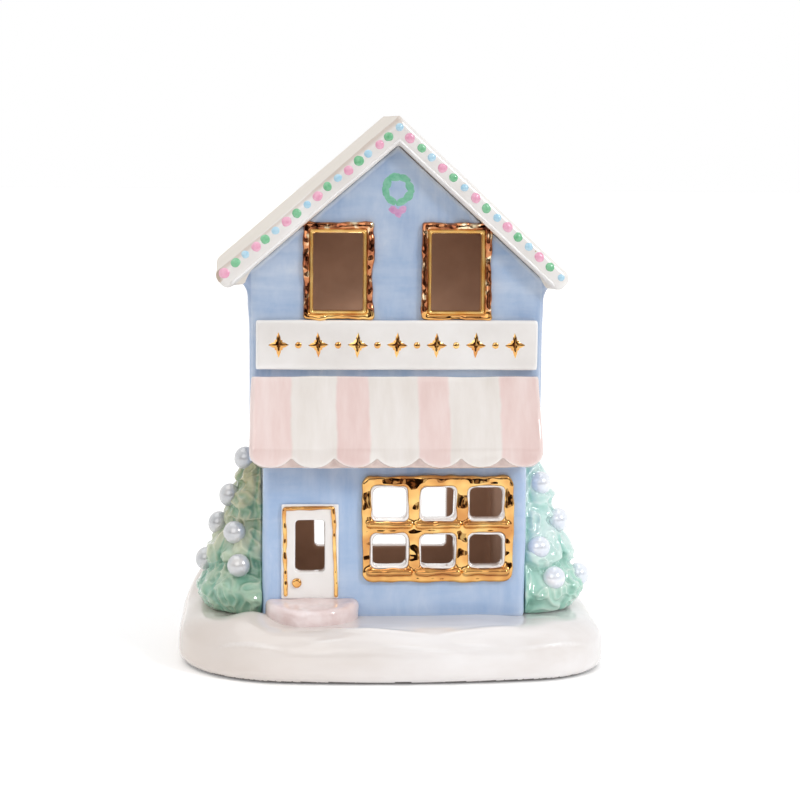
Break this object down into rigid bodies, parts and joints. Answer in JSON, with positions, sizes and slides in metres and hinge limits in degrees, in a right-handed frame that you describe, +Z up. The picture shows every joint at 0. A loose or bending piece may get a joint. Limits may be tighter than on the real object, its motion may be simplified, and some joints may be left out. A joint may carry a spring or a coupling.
{
  "type": "ceramic village house",
  "caption": "Ceramic lit village shop on a snow mound, with gable roof, striped awning, gold window frames, pearl-decked trees and a lift-out tea light.",
  "frame": {"origin": "on the table, under the middle of the snow base", "axes": "+Z up through the ridge, -Y out of the shop front, +X to the right of a viewer facing the front"},
  "size_m": [0.144, 0.116, 0.184],
  "materials": {
    "snow_white_glaze": "clear gloss over white",
    "blue_glaze": "brushed pale blue under clear gloss",
    "roof_white_glaze": "white gloss with painted dots along the verge",
    "white_glaze": "white gloss",
    "awning_glaze": "pink and white painted stripes under gloss",
    "gold_lustre": "fired gold lustre, mirror bright and wavy",
    "pink_glaze": "pale pink gloss",
    "tree_green_glaze": "mint green gloss, paler on the raised boughs",
    "pearl": "pearlescent",
    "white_plastic": "moulded",
    "dark_plastic": "moulded",
    "cell_steel": "nickel plated",
    "contact_steel": "plated spring strip",
    "led_epoxy": "clear warm epoxy",
    "flame_lens": "frosted translucent"
  },
  "bodies": {
    "house": {"snow_base": "snow_white_glaze", "shopfront_wall": "blue_glaze", "gable_wall": "blue_glaze", "rear_wall": "blue_glaze", "left_wall": "blue_glaze", "right_wall": "blue_glaze", "roof": "roof_white_glaze", "sign_board": "white_glaze", "awning": "awning_glaze", "upper_window_frame_left": "gold_lustre", "upper_window_frame_right": "gold_lustre", "shop_window_frame": "gold_lustre", "door_panel": "white_glaze", "door_casing": "gold_lustre", "door_knob": "gold_lustre", "door_step": "pink_glaze", "tree_left": "tree_green_glaze", "tree_right": "tree_green_glaze", "tree_pearls_left": "pearl", "tree_pearls_right": "pearl"},
    "tealight": {"tealight_cup": "white_plastic", "tealight_base_plate": "white_plastic", "tealight_battery_door": "white_plastic", "tealight_coin_cell": "cell_steel", "tealight_contacts": "contact_steel", "tealight_led": "led_epoxy", "tealight_flame": "flame_lens"},
    "light_switch": {"tealight_switch": "dark_plastic"}
  },
  "joints": [
    {"name": "light_lift_out", "type": "slide", "parent": "house", "child": "tealight", "axis": [0.2125, 0.7084, 0.673], "range_m": [0, 0.1]},
    {"name": "switch_slide", "type": "slide", "parent": "tealight", "child": "light_switch", "axis": [1, 0, 0], "range_m": [0, 0.0025]}
  ]
}
